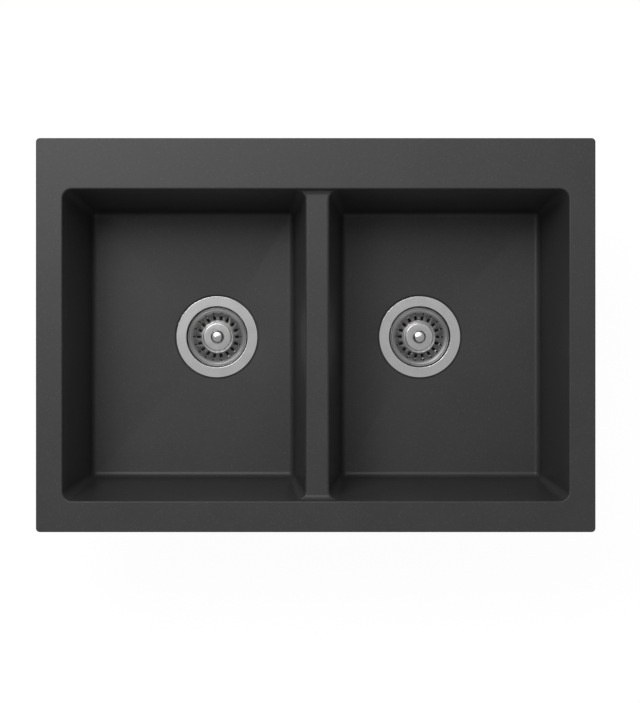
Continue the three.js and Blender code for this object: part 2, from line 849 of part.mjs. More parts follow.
function named(name, solid, finish) {
  const mesh = new THREE.Mesh(toGeometry(solid), new THREE.MeshStandardMaterial(finishes[finish]));
  mesh.name = name;
  return mesh;
}

function strainer(label) {
  const pieces = [
    ['strainer_cup', strainerCup, 'steel'],
    ['flange_seal', flangeSeal, 'rubber'],
    ['seat_seal', seatSeal, 'rubber'],
    ['waste_body', wasteBody, 'plastic'],
    ['centre_screw', centreScrew, 'zinc'],
    ['outlet_washer', outletWasher, 'rubber'],
    ['outlet_nut', outletNut, 'plastic'],
    ['basket', basket, 'steel'],
    ['basket_cap', basketCap, 'polished'],
    ['knob', knob, 'polished'],
    ['stem', stem, 'zinc'],
    ['stopper_seal', stopperSeal, 'rubber'],
  ];
  const group = new THREE.Group();
  for (const [piece, make, finish] of pieces) group.add(named(`${label}_${piece}`, make(), finish));
  return group;
}

// A clamp is parked along the wall of the sink, a quarter turn from where it grips the worktop.
function clamp(number, { x, y, outward }) {
  const group = new THREE.Group();
  group.add(named(`clamp_insert_${number}`, clampInsert(), 'nylon'));
  group.add(named(`clamp_screw_${number}`, clampScrew(), 'zinc'));
  group.add(named(`clamp_${number}`, clampStrip(), 'zinc'));
  group.position.set(x, y, 0);
  group.rotation.z = THREE.MathUtils.degToRad(outward - 90);
  return group;
}

const group = new THREE.Group();
group.add(named('sink_body', sinkBody(), 'composite'));
group.add(named('rim_seal', rimSeal(), 'foam'));
for (const [label, side] of bowlSides) {
  const waste = strainer(label);
  const { x, y } = drainPlace(side);
  waste.position.set(x, y, drainLevel);
  group.add(waste);
}
clampPlaces().forEach((place, i) => group.add(clamp(i + 1, place)));

export default group;
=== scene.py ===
import math

import bmesh
import bpy
import numpy as np
from mathutils import Matrix, Vector


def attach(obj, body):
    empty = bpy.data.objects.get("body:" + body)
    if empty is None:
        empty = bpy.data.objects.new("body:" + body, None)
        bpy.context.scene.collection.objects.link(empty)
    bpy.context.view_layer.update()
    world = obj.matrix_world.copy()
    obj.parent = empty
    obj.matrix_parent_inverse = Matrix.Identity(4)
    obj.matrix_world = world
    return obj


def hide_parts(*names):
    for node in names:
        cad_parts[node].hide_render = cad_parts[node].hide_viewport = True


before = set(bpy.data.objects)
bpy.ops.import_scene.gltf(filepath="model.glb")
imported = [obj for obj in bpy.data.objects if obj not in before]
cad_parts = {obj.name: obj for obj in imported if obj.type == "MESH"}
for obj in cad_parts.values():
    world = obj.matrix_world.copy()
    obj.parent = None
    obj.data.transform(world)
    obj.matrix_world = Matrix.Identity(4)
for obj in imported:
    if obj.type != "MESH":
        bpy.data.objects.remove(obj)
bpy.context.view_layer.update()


# ------------------------------------------------------------------------------------------------ sink body
# The moulding of rim, tap ledge, two bowls and the low divider between them, in one piece. It is cast in a
# closed mould from mineral grit in dark resin, which leaves a fine-grained, satin face on both sides.

MM = 0.001
MERGE_REACH, CREASE = 2e-7, math.radians(32)
SINK_LENGTH, SINK_DEPTH = 710.0, 500.0
RIM_THICKNESS, RIM_CORNER, RIM_EDGE_ROUND = 9.0, 5.0, 1.6
MOUTH_HALF_LENGTH, MOUTH_REAR, MOUTH_FRONT = 321.5, 185.5, -210.5
BOWL_DEPTH, FLOOR_FALL, FLOOR_FILLET = 190.0, 3.0, 8.5
WALL_THICKNESS, FLOOR_THICKNESS, DRAFT = 9.0, 10.0, math.radians(5.5)
MOUTH_CORNER, FOOT_CORNER, SHARPEST_CORNER, MOUTH_ROUND = 12.0, 7.5, 0.8, 2.0
DIVIDER_MIDDLE, DIVIDER_WIDTH, DIVIDER_DROP, DIVIDER_ROUND, DIVIDER_END_FILLET = 2.0, 30.0, 10.0, 3.5, 7.5
BEAM_THICKNESS, WEB_THICKNESS, WEB_DROP, WEB_SPACING = 12.0, 6.0, 80.0, 190.0
DRAIN_SPACING, DRAIN_MIDDLE, DRAIN_Y = 275.4, 3.1, -2.0
DRAIN_LEVEL = RIM_THICKNESS - BOWL_DEPTH - FLOOR_FALL
DRAIN_HOLE, DRAIN_SEAT, DRAIN_SEAT_THICKNESS, RECESS_RADIUS, RECESS_DEPTH = 45.0, 63.0, 12.0, 56.8, 2.6
SEAL_GROOVE_INSET, SEAL_GROOVE_WIDTH, SEAL_GROOVE_DEPTH = 5.0, 4.0, 2.5
TAP_RECESS_RADIUS, TAP_RECESS_TOP, TAP_RECESS_Y, TAP_RECESS_SPACING = 17.5, 5.0, 217.0, 100.0
BOSS_RADIUS, BOSS_DROP, BOSS_TOP, INSERT_RADIUS, INSERT_LENGTH = 6.5, 12.0, 4.5, 4.3, 10.0
GUSSET_DROP, GUSSET_WIDTH, INSERT_GAP, INSERT_END_GAP = 22.0, 5.0, 0.35, 0.3
SIDES = {"left": -1, "right": 1}
DRAIN_X = {label: DRAIN_MIDDLE + side * DRAIN_SPACING / 2 for label, side in SIDES.items()}
CLAMP_X, CLAMP_Y, CLAMP_ROWS = 337.5, 232.5, (-127.5, 102.5)
CLAMPS = [(-180, -CLAMP_Y, 270), (180, -CLAMP_Y, 270),
          (CLAMP_X, CLAMP_ROWS[0], 0), (CLAMP_X, CLAMP_ROWS[1], 0),
          (180, CLAMP_Y, 90), (-180, CLAMP_Y, 90),
          (-CLAMP_X, CLAMP_ROWS[1], 180), (-CLAMP_X, CLAMP_ROWS[0], 180)]


def piece_from(name, points, faces):
    """A closed piece from points in millimetres. Points that meet are merged, its faces are turned outwards,
    and edges that turn by more than the crease are kept sharp."""
    mesh = bpy.data.meshes.new(name)
    mesh.from_pydata((np.asarray(points, float).reshape(-1, 3) * MM).tolist(), [], faces)
    work = bmesh.new()
    work.from_mesh(mesh)
    bmesh.ops.remove_doubles(work, verts=work.verts, dist=MERGE_REACH)
    bmesh.ops.recalc_face_normals(work, faces=work.faces)
    work.to_mesh(mesh)
    work.free()
    mesh.shade_smooth()
    mesh.set_sharp_from_angle(angle=CREASE)
    piece = bpy.data.objects.new(name, mesh)
    bpy.context.collection.objects.link(piece)
    return piece


def grid_quads(rows, columns, wrap_rows=False, wrap_columns=True):
    """The quads of a grid, as four point numbers round each cell, closed on itself where it wraps."""
    row = np.arange(rows if wrap_rows else rows - 1)[:, None]
    column = np.arange(columns if wrap_columns else columns - 1)[None, :]
    row_after, column_after = (row + 1) % rows, (column + 1) % columns
    cells = [row * columns + column, row * columns + column_after,
             row_after * columns + column_after, row_after * columns + column]
    return np.stack(cells, axis=-1)


def sheet_quads(quads, count):
    """The quads of a sheet whose back points follow its count front points: the front, the back turned
    over, and a wall along each front edge that only one quad has."""
    quads = quads.reshape(-1, 4)
    edges = np.stack([quads, np.roll(quads, -1, axis=1)], axis=-1).reshape(-1, 2)
    single = ~np.isin(edges @ [count, 1], edges[:, ::-1] @ [count, 1])
    rim = edges[single]
    return np.concatenate([quads, quads[:, ::-1] + count, np.column_stack([rim[:, ::-1], rim + count])])


def lofted(name, outlines):
    """A closed piece through outlines, an array of (level, point, xyz), with a flat cap at each end."""
    levels, count = outlines.shape[:2]
    ends = [list(range(count)), list(range((levels - 1) * count, levels * count))]
    return piece_from(name, outlines, grid_quads(levels, count).reshape(-1, 4).tolist() + ends)


def wall_inset(drop, top, edge_round, foot, fillet, offset=0.0):
    """How far in a drafted wall stands at each drop below the rim: a quarter round over its top edge, a
    straight lean of the draft angle, then a quarter round that runs level into the foot."""
    lean = (drop - top) * math.tan(DRAFT) - offset
    if edge_round:
        turn = np.arccos(1 - np.clip((drop - top) / edge_round, 0, 1))
        start = edge_round * math.tan(DRAFT) - offset - edge_round / math.cos(DRAFT)
        round_end = top + edge_round * (1 - math.sin(DRAFT))
        lean = np.where(drop < round_end, start + edge_round * np.sin(turn), lean)
    turn = np.arcsin(np.clip((drop - foot) / fillet + 1, 0, 1))
    start = (foot - fillet - top) * math.tan(DRAFT) - offset + fillet / math.cos(DRAFT)
    return np.where(drop > foot - fillet * (1 - math.sin(DRAFT)), start - fillet * np.cos(turn), lean)


def round_drops(top, edge_round, steps=6):
    """The drops at even turns of the round over a wall's top edge."""
    return top + edge_round * (1 - np.cos(np.linspace(0, math.pi / 2 - DRAFT, steps + 1)))


def fillet_drops(foot, fillet, steps=9):
    """The drops at even turns of the fillet at a wall's foot."""
    return foot - fillet * (1 - np.sin(np.linspace(DRAFT, math.pi / 2, steps + 1)))


def rounded_outlines(left, right, front, rear, radius, level, corner_steps=9, side_points=24):
    """Rounded rectangles, one for each level: four quarter circles about the corner centres, joined by
    straight sides that are divided evenly."""
    left, right, front, rear, radius, level = np.broadcast_arrays(left, right, front, rear, radius, level)
    turn = (np.arange(4)[:, None] + np.linspace(0, 1, corner_steps + 1)) * math.pi / 2
    centre_x = np.stack([right - radius, left + radius, left + radius, right - radius], axis=-1)
    centre_y = np.stack([rear - radius, rear - radius, front + radius, front + radius], axis=-1)
    x = centre_x[:, :, None] + radius[:, None, None] * np.cos(turn)
    y = centre_y[:, :, None] + radius[:, None, None] * np.sin(turn)
    arcs = np.stack([x, y, np.broadcast_to(level[:, None, None], x.shape)], axis=-1)
    share = (np.arange(1, side_points + 1) / (side_points + 1))[:, None]
    ends, starts = arcs[:, :, -1:], np.roll(arcs, -1, axis=1)[:, :, :1]
    sides = ends + (starts - ends) * share
    return np.concatenate([arcs, sides], axis=2).reshape(len(level), -1, 3)


def bowl_outlines(side, drops, wall, divider, growth=0.0):
    """A bowl's outline at each drop. Its corners tighten towards the floor by as much as the wall's round
    and fillet stand in from its straight lean, so the corner is swept evenly."""
    inset, divider_inset = wall_inset(drops, **wall), wall_inset(drops, **divider)
    share = np.clip(drops / BOWL_DEPTH, 0, 1)
    lean = np.maximum(drops, 0) * math.tan(DRAFT) - wall.get("offset", 0.0)
    corner = MOUTH_CORNER + (FOOT_CORNER - MOUTH_CORNER) * share + growth
    radius = np.maximum(corner - (inset - lean), SHARPEST_CORNER)
    outer = side * (MOUTH_HALF_LENGTH - inset)
    inner = DIVIDER_MIDDLE + side * (DIVIDER_WIDTH / 2 + divider_inset)
    return rounded_outlines(np.minimum(outer, inner), np.maximum(outer, inner), MOUTH_FRONT + inset,
                            MOUTH_REAR - inset, radius, RIM_THICKNESS - drops)


def bowl_hollow(side, x):
    """What a bowl takes out of the block. The floor runs from its square edge to the round drain by
    blending the two outlines, and falls evenly; then come the recess for the strainer and the hole."""
    wall = dict(top=0.0, edge_round=MOUTH_ROUND, foot=BOWL_DEPTH, fillet=FLOOR_FILLET)
    divider = dict(top=DIVIDER_DROP, edge_round=DIVIDER_ROUND, foot=BOWL_DEPTH, fillet=FLOOR_FILLET)
    edges = [round_drops(0, MOUTH_ROUND), round_drops(DIVIDER_DROP, DIVIDER_ROUND)]
    foot = fillet_drops(BOWL_DEPTH, FLOOR_FILLET)
    drops = np.unique(np.concatenate([[-1.0], *edges, np.linspace(20, 170, 6), foot]))
    walls = bowl_outlines(side, drops, wall, divider)
    edge = walls[-1]
    turn = np.arctan2(edge[:, 1] - DRAIN_Y, edge[:, 0] - x)
    rings = [(RECESS_RADIUS + 0.5, 0.0), (RECESS_RADIUS, -0.5), (RECESS_RADIUS, -RECESS_DEPTH),
             (DRAIN_HOLE + 0.6, -RECESS_DEPTH), (DRAIN_HOLE, -RECESS_DEPTH - 0.6),
             (DRAIN_HOLE, -DRAIN_SEAT_THICKNESS - 1)]
    radius, level = np.array(rings).T[:, :, None]
    drain = np.stack([x + radius * np.cos(turn), DRAIN_Y + radius * np.sin(turn),
                      DRAIN_LEVEL + level + 0 * turn], axis=-1)
    share = np.linspace(0, 1, 9)[1:-1, None, None]
    floor = edge + (drain[0] - edge) * share
    return lofted(f"bowl_hollow{side}", np.concatenate([walls, floor, drain]))


def bowl_shell(side, x):
    """The outside of a bowl: the same walls, a wall's thickness further out."""
    reach = WALL_THICKNESS / math.cos(DRAFT)
    foot, fillet = BOWL_DEPTH + FLOOR_THICKNESS, FLOOR_FILLET + WALL_THICKNESS
    wall = dict(top=0.0, edge_round=0.0, foot=foot, fillet=fillet, offset=reach)
    divider = dict(wall, top=DIVIDER_DROP)
    tops = [RIM_THICKNESS / 2, DIVIDER_DROP + BEAM_THICKNESS / 2]
    drops = np.concatenate([tops, fillet_drops(foot, fillet)])
    return lofted(f"bowl_shell{side}", bowl_outlines(side, drops, wall, divider, WALL_THICKNESS))


def drum(name, radius, bottom, top, x=0.0, y=0.0, count=72):
    """A plain round plug: a circle carried straight up."""
    turn = np.linspace(0, 2 * math.pi, count, endpoint=False)
    circle = np.stack([x + radius * np.cos(turn), y + radius * np.sin(turn)], axis=-1)
    levels = [np.column_stack([circle, np.full(count, level)]) for level in (bottom, top)]
    return lofted(name, np.array(levels))


def prism(name, section, width, x=0.0, y=0.0, degrees=0.0):
    """A section in the plane of X and Z, given a width along Y about the middle and turned about Z."""
    section = np.asarray(section, float)
    ends = np.stack([np.insert(section, 1, half, axis=1) for half in (-width / 2, width / 2)])
    turn = np.array(Matrix.Rotation(math.radians(degrees), 3, "Z"))
    return lofted(name, ends @ turn.T + [x, y, 0])


def rim_plan(inset, radius, level):
    """The rim's own rounded rectangle at each level, drawn in by an inset on all four sides."""
    return rounded_outlines(inset - SINK_LENGTH / 2, SINK_LENGTH / 2 - inset, inset - SINK_DEPTH / 2,
                            SINK_DEPTH / 2 - inset, radius, level, side_points=3)


def rim_plate():
    """The flat rim: its outline carried up, then drawn in over a quarter round at the top edge."""
    turn = np.linspace(0, math.pi / 2, 7)
    inset = np.concatenate([[0.4, 0.0], RIM_EDGE_ROUND * (1 - np.cos(turn))])
    level = np.concatenate([[0.0, 0.4], RIM_THICKNESS - RIM_EDGE_ROUND * (1 - np.sin(turn))])
    return lofted("rim_plate", rim_plan(inset, RIM_CORNER - inset, level))


def divider_parts():
    """The beam under the divider's top and the two webs that tie the bowls together below it. Both reach
    half a wall's thickness into the walls beside them."""
    middle, length = (MOUTH_REAR + MOUTH_FRONT) / 2, MOUTH_REAR - MOUTH_FRONT + WALL_THICKNESS

    def section(top, bottom):
        """As wide at each drop as the divider's drafted walls, less half a wall's thickness on each side."""
        drop = np.array([bottom, bottom, top, top])
        reach = DIVIDER_WIDTH / 2 + (drop - DIVIDER_DROP) * math.tan(DRAFT) - WALL_THICKNESS / 2
        return np.column_stack([reach * [-1, 1, 1, -1], RIM_THICKNESS - drop])

    beam = section(DIVIDER_DROP - DIVIDER_ROUND, DIVIDER_DROP + BEAM_THICKNESS)
    web = section(DIVIDER_DROP + DIVIDER_ROUND, WEB_DROP)
    webs = [prism("web", web, WEB_THICKNESS, DIVIDER_MIDDLE, middle + share * WEB_SPACING)
            for share in (-0.5, 0.5)]
    return [prism("beam", beam, length, DIVIDER_MIDDLE, middle)] + webs


def divider_saddle():
    """What is cut away above the divider: flat along its top, with a fillet up to the rim at each end."""
    face = dict(top=0.0, edge_round=MOUTH_ROUND, foot=DIVIDER_DROP, fillet=DIVIDER_END_FILLET)
    foot = fillet_drops(DIVIDER_DROP, DIVIDER_END_FILLET)
    drops = np.concatenate([[-1.0], round_drops(0, MOUTH_ROUND), foot])
    inset = wall_inset(drops, **face)
    front = np.column_stack([MOUTH_FRONT + inset, RIM_THICKNESS - drops])
    rear = np.column_stack([MOUTH_REAR - inset, RIM_THICKNESS - drops])
    section = np.concatenate([front, rear[::-1]])
    return prism("saddle", section, DIVIDER_WIDTH + 2 * MOUTH_CORNER, DIVIDER_MIDDLE, 0, 90)


def clamp_boss(number, x, y, outward):
    """A boss for a clamp's insert, with a gusset back to the bowl's wall."""
    from_mouth = {0: x - MOUTH_HALF_LENGTH, 180: -x - MOUTH_HALF_LENGTH,
                  90: y - MOUTH_REAR, 270: MOUTH_FRONT - y}[outward]
    gap = from_mouth + RIM_THICKNESS * math.tan(DRAFT) - WALL_THICKNESS / math.cos(DRAFT)
    root = -(gap + WALL_THICKNESS / 2)
    gusset = [(root, -GUSSET_DROP), (-BOSS_RADIUS / 2, -BOSS_DROP / 2), (-BOSS_RADIUS / 2, BOSS_TOP),
              (root, BOSS_TOP)]
    return [drum(f"boss{number}", BOSS_RADIUS, -BOSS_DROP, BOSS_TOP, x, y, 40),
            prism(f"gusset{number}", gusset, GUSSET_WIDTH, x, y, outward)]


def seal_groove():
    """The ring for the foam strip: one rounded rectangle within another, closed into a loop."""
    insets = np.array([SEAL_GROOVE_INSET, SEAL_GROOVE_INSET + SEAL_GROOVE_WIDTH])[[0, 0, 1, 1]]
    levels = np.array([-1.0, SEAL_GROOVE_DEPTH, SEAL_GROOVE_DEPTH, -1.0])
    outlines = rim_plan(insets, np.maximum(RIM_CORNER - insets, SHARPEST_CORNER), levels)
    quads = grid_quads(4, outlines.shape[1], wrap_rows=True).reshape(-1, 4)
    return piece_from("seal_groove", outlines, quads.tolist())


def carved(block, joins, cuts):
    """Joins some pieces to a block and cuts others out of it, then drops them. Large flat faces keep their
    own direction beside the small rounds."""
    for operation, tools in (("UNION", joins), ("DIFFERENCE", cuts)):
        if tools:
            group = bpy.data.collections.new(operation)
            for tool in tools:
                group.objects.link(tool)
            step = block.modifiers.new(operation, "BOOLEAN")
            step.operation, step.solver = operation, "EXACT"
            step.operand_type, step.collection = "COLLECTION", group
    shape = bpy.data.meshes.new_from_object(block.evaluated_get(bpy.context.evaluated_depsgraph_get()))
    block.modifiers.clear()
    block.data = shape
    for tool in joins + cuts:
        bpy.data.objects.remove(tool)
    shape.shade_smooth()
    shape.set_sharp_from_angle(angle=CREASE)
    weight = block.modifiers.new("flats", "WEIGHTED_NORMAL")
    weight.keep_sharp = True
    return block


class Signal:
    """One output of a node. Arithmetic on it, with numbers or other signals, adds Math nodes."""

    def __init__(self, nodes, socket):
        self.nodes, self.socket = nodes, socket

    def maths(self, operation, first, second=0.0):
        """A Math node on two numbers or signals."""
        return self.nodes.add("ShaderNodeMath", {"operation": operation}, {0: first, 1: second})

    def __add__(self, other): return self.maths("ADD", self, other)
    def __radd__(self, other): return self.maths("ADD", other, self)
    def __sub__(self, other): return self.maths("SUBTRACT", self, other)
    def __rsub__(self, other): return self.maths("SUBTRACT", other, self)
    def __mul__(self, other): return self.maths("MULTIPLY", self, other)
    def __rmul__(self, other): return self.maths("MULTIPLY", other, self)
    def __gt__(self, other): return self.maths("GREATER_THAN", self, other)
    def __pow__(self, other): return self.maths("POWER", self, other)
    def __abs__(self): return self.maths("ABSOLUTE", self)


class Nodes:
    """A tree of shader nodes, for a material or for the world."""

    def __init__(self, tree):
        self.tree = tree

    def feed(self, socket, value):
        """Links a signal to a socket, or sets the socket to a plain value."""
        if isinstance(value, Signal):
            self.tree.links.new(value.socket, socket)
        else:
            socket.default_value = value

    def add(self, kind, settings=None, inputs=None, output=0):
        """Any node: its type, its settings, what its sockets get, and which of its outputs is wanted."""
        node = self.tree.nodes.new(kind)
        for key, value in (settings or {}).items():
            setattr(node, key, value)
        for key, value in (inputs or {}).items():
            self.feed(node.inputs[key], value)
        return Signal(self, node.outputs[output])

    def shade(self, amount, dark, light):
        """A colour between two, by an amount from 0 to 1."""
        return self.add("ShaderNodeMix", {"data_type": "RGBA"}, {0: amount, 6: dark, 7: light}, 2)


class Finish(Nodes):
    """A material: one Principled shader, and the nodes that feed it."""

    def __init__(self, name, **constants):
        self.material = bpy.data.materials.new(name)
        self.material.use_nodes = True
        super().__init__(self.material.node_tree)
        self.shader = self.tree.nodes["Principled BSDF"]
        for socket, value in constants.items():
            self.feed(self.shader.inputs[socket.replace("_", " ")], value)

    def wear(self, colour=None, roughness=None, height=None, depth=0.0):
        """Sends what changes over the surface to the shader; height becomes a bump that many mm deep."""
        for name, signal in (("Base Color", colour), ("Roughness", roughness)):
            if signal is not None:
                self.feed(self.shader.inputs[name], signal)
        if height is not None:
            bump = self.add("ShaderNodeBump", None, {"Distance": depth * MM, "Height": height})
            self.feed(self.shader.inputs["Normal"], bump)
        return self


def grey(level, warmth=0.0):
    """A grey; warmth raises its red and lowers its blue by the same share."""
    return (level * (1 + warmth), level, level * (1 - warmth), 1.0)


def stone_composite():
    """Dark resin full of grit: cells of 0.4 mm of slightly different greys, a few paler mineral flecks, a
    slow mottle from the pour, and a grain that can be felt."""
    stone = Finish("stone_composite", Specular_IOR_Level=0.3)
    where = stone.add("ShaderNodeTexCoord", output="Object")
    grit = stone.add("ShaderNodeTexVoronoi", None, {"Vector": where, "Scale": 2600.0}, "Color")
    flecks = stone.add("ShaderNodeTexVoronoi", None, {"Vector": where, "Scale": 900.0}, "Color")
    mottle = stone.add("ShaderNodeTexNoise", None, {"Vector": where, "Scale": 16.0, "Detail": 3.0})
    grain = stone.add("ShaderNodeTexNoise", None, {"Vector": where, "Scale": 1500.0, "Detail": 2.0})
    shade = 0.55 * grit + 0.35 * mottle + 0.9 * (flecks > 0.86) * flecks
    colour = stone.shade(shade, grey(0.030, 0.004), grey(0.062, 0.004))
    return stone.wear(colour, 0.34 + 0.10 * grit + 0.05 * mottle, grain + 0.5 * grit, 0.03)


stone = stone_composite()
hollows = [bowl_hollow(side, DRAIN_X[label]) for label, side in SIDES.items()]
shells = [bowl_shell(side, DRAIN_X[label]) for label, side in SIDES.items()]
seats = [drum(f"seat_{label}", DRAIN_SEAT, DRAIN_LEVEL - DRAIN_SEAT_THICKNESS, DRAIN_LEVEL - 2,
              x, DRAIN_Y, 120) for label, x in DRAIN_X.items()]
bosses = [part for number, place in enumerate(CLAMPS) for part in clamp_boss(number, *place)]
tap_recesses = [drum(f"tap_recess{step}", TAP_RECESS_RADIUS, -1, TAP_RECESS_TOP,
                     DIVIDER_MIDDLE + step * TAP_RECESS_SPACING, TAP_RECESS_Y) for step in (-1, 0, 1)]
clamp_holes = [drum(f"clamp_hole{number}", INSERT_RADIUS + INSERT_GAP, -BOSS_DROP - 1,
                    INSERT_LENGTH - BOSS_DROP + INSERT_END_GAP, x, y, 32)
               for number, (x, y, _) in enumerate(CLAMPS)]
sink = carved(rim_plate(), shells + seats + divider_parts() + bosses,
              [divider_saddle(), seal_groove()] + tap_recesses + clamp_holes + hollows)
sink.name = "stone_sink"
sink.data.materials.clear()
sink.data.materials.append(stone.material)
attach(sink, "sink")
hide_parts("sink_body")


# ------------------------------------------------------------------------------------------- strainer cups
# Each drain has a pressed stainless cup: a bright flange in the floor's recess, a wall, a shoulder that the
# basket seats over, and a bottom with six slots. The flange is spun, which leaves fine rings round it.

SHEET = 1.2
CUP_SLOTS, CUP_SLOT_INNER, CUP_SLOT_OUTER, CUP_BRIDGE = 6, 10.5, 22.5, 4.0


def softened(corners, reach, steps=5):
    """A bent line through corners, each cut back by its reach (at most 0.45 of the shorter side) and joined
    by a quadratic curve that keeps to both sides."""
    corners = np.asarray(corners, float)
    before, after = np.roll(corners, 1, 0) - corners, np.roll(corners, -1, 0) - corners
    long_before, long_after = np.linalg.norm(before, axis=1), np.linalg.norm(after, axis=1)
    cut = np.minimum(np.broadcast_to(reach, len(corners)), 0.45 * np.minimum(long_before, long_after))
    start = corners + before * (cut / long_before)[:, None]
    end = corners + after * (cut / long_after)[:, None]
    t = np.linspace(0, 1, steps + 1)[None, :, None]
    curve = (1 - t) ** 2 * start[:, None] + 2 * t * (1 - t) * corners[:, None] + t ** 2 * end[:, None]
    return curve.reshape(-1, 2)


def bent_line(corners, reach, spacing=1.0):
    """The same line left open: its ends stay where they are, and it is divided at an even spacing."""
    curve = softened(corners, reach, 8)[8:-8]
    curve[0], curve[-1] = corners[0], corners[-1]
    length = np.concatenate([[0], np.cumsum(np.linalg.norm(np.diff(curve, axis=0), axis=1))])
    even = np.linspace(0, length[-1], int(length[-1] / spacing) + 1)
    marks = np.unique(np.concatenate([even, length]))
    marks = marks[np.concatenate([[True], np.diff(marks) > 1e-4])]
    return np.column_stack([np.interp(marks, length, curve[:, k]) for k in (0, 1)]), marks


def pierced_sheet(name, line, half_turn, count, land_columns, bulge=None, thickness=SHEET):
    """Sheet metal turned about Z from a line of (radius, height), with a ring of slots. Each slot's half
    angle is given along the line: its two edges are columns of the grid, which close up where it is zero."""
    radius, height = line[:, 0], line[:, 1]
    share = np.linspace(0, 1, land_columns + 1)
    pitch = 2 * math.pi / count
    land = half_turn[:, None] + (pitch - 2 * half_turn[:, None]) * share
    turn = (land[:, None, :] + np.arange(count)[None, :, None] * pitch).reshape(len(line), -1)
    along = np.gradient(line, axis=0)
    normal = np.column_stack([-along[:, 1], along[:, 0]]) / np.linalg.norm(along, axis=1)[:, None]
    lift = np.zeros_like(turn)
    if bulge is not None:
        lift = bulge[:, None] * np.tile(np.sin(math.pi * share) ** 0.5, count)
    sheet = []
    for depth in (lift, lift - thickness):
        far, level = radius[:, None] + depth * normal[:, :1], height[:, None] + depth * normal[:, 1:]
        sheet.append(np.stack([far * np.cos(turn), far * np.sin(turn), level], axis=-1))
    quads = grid_quads(*turn.shape)
    in_slot = (np.arange(turn.shape[1]) % (land_columns + 1) == land_columns)[None, :]
    open_rows = (np.maximum(half_turn[:-1], half_turn[1:]) > 0)[:, None]
    return piece_from(name, sheet, sheet_quads(quads[~(in_slot & open_rows)], turn.size).tolist())


def settled(template, name, x, y, z=0.0, degrees=0.0):
    """A copy of a piece, modifiers applied, turned about Z and moved to its place in the mesh itself."""
    shape = bpy.data.meshes.new_from_object(template.evaluated_get(bpy.context.evaluated_depsgraph_get()))
    shape.name = name
    turn = Matrix.Rotation(math.radians(degrees), 4, "Z")
    shape.transform(Matrix.Translation((x * MM, y * MM, z * MM)) @ turn)
    shape.update()
    piece = bpy.data.objects.new(name, shape)
    bpy.context.collection.objects.link(piece)
    return piece


def finished(piece, finish, body, nodes):
    """Gives a piece its material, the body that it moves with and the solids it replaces."""
    piece.data.materials.clear()
    piece.data.materials.append(finish.material)
    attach(piece, body)
    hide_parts(*nodes)


def both_strainers(template, node, finish, lifts=False):
    """One copy of a piece in each drain, then the template goes."""
    for label in SIDES:
        piece = settled(template, f"{label}_{node}_piece", DRAIN_X[label], DRAIN_Y, DRAIN_LEVEL)
        finished(piece, finish, f"{label}_lift_basket" if lifts else "sink", [f"{label}_{node}"])
    bpy.data.objects.remove(template)


def drain_coordinates(finish):
    """The distance from the nearer drain's axis and the height, in metres. Both drains fold onto one."""
    where = finish.add("ShaderNodeTexCoord", output="Object")
    x = finish.add("ShaderNodeSeparateXYZ", None, {0: where}, "X")
    y = finish.add("ShaderNodeSeparateXYZ", None, {0: where}, "Y")
    z = finish.add("ShaderNodeSeparateXYZ", None, {0: where}, "Z")
    x = abs(x - DRAIN_MIDDLE * MM) - DRAIN_SPACING / 2 * MM
    y = y - DRAIN_Y * MM
    return where, (x * x + y * y) ** 0.5, z


def spun_steel(name, level, low, high, depth, metal=1.0):
    """Stainless steel finished on a lathe: rings of 0.1 to 0.3 mm in gloss and height, and a slow cloud. Its
    roughness runs from low to high, and metal below 1 adds the dull share of a satin sheet."""
    steel = Finish(name, Metallic=metal)
    where, radius, z = drain_coordinates(steel)
    rings = steel.add("ShaderNodeTexNoise", {"noise_dimensions": "1D"},
                      {"W": radius + 0.8 * z, "Scale": 5200.0, "Detail": 3.0})
    cloud = steel.add("ShaderNodeTexNoise", None, {"Vector": where, "Scale": 60.0, "Detail": 2.0})
    colour = steel.shade(0.6 * rings + 0.4 * cloud, grey(level - 0.06, 0.004), grey(level + 0.06, 0.004))
    return steel.wear(colour, low + (high - low) * (0.7 * rings + 0.3 * cloud), rings, depth)


brushed = spun_steel("brushed_steel", 0.62, 0.14, 0.26, 0.006)
cup_face = [(3.4, -34), (30.6, -34), (31.9, -32.2), (35.2, -17.4), (36.4, -16.4), (40.4, -15.9),
            (41.4, -14.6), (41.4, -1.6), (41.5, 0.2), (41.9, 0.42), (54.8, 0.4), (55.1, 0.2), (55.1, -0.8)]
cup_line, _ = bent_line(cup_face, [0, 1.2, 1.2, 1.0, 1.0, 1.0, 1.0, 0.6, 0.2, 0.2, 0.15, 0.15, 0])
middle, half_length = (CUP_SLOT_OUTER + CUP_SLOT_INNER) / 2, (CUP_SLOT_OUTER - CUP_SLOT_INNER) / 2
along_slot = np.clip(np.abs(cup_line[:, 0] - middle) / half_length, 0, 1)
square = math.pi / CUP_SLOTS - np.arcsin(np.clip(CUP_BRIDGE / 2 / cup_line[:, 0], 0, 1))
cup_slot = np.where(cup_line[:, 1] < -33.5, square * np.sqrt(1 - along_slot ** 5), 0)
cup = pierced_sheet("cup", cup_line, cup_slot, CUP_SLOTS, 16)
both_strainers(cup, "strainer_cup", brushed)


# ------------------------------------------------------------------------------------ flange and seat seals
# Rubber rings above and below the floor round each drain hole: a flat one under the flange, a thicker one
# between the floor and the waste. Both are pressed and have a dull, dusty bloom.

RINGS_ROUND = 96


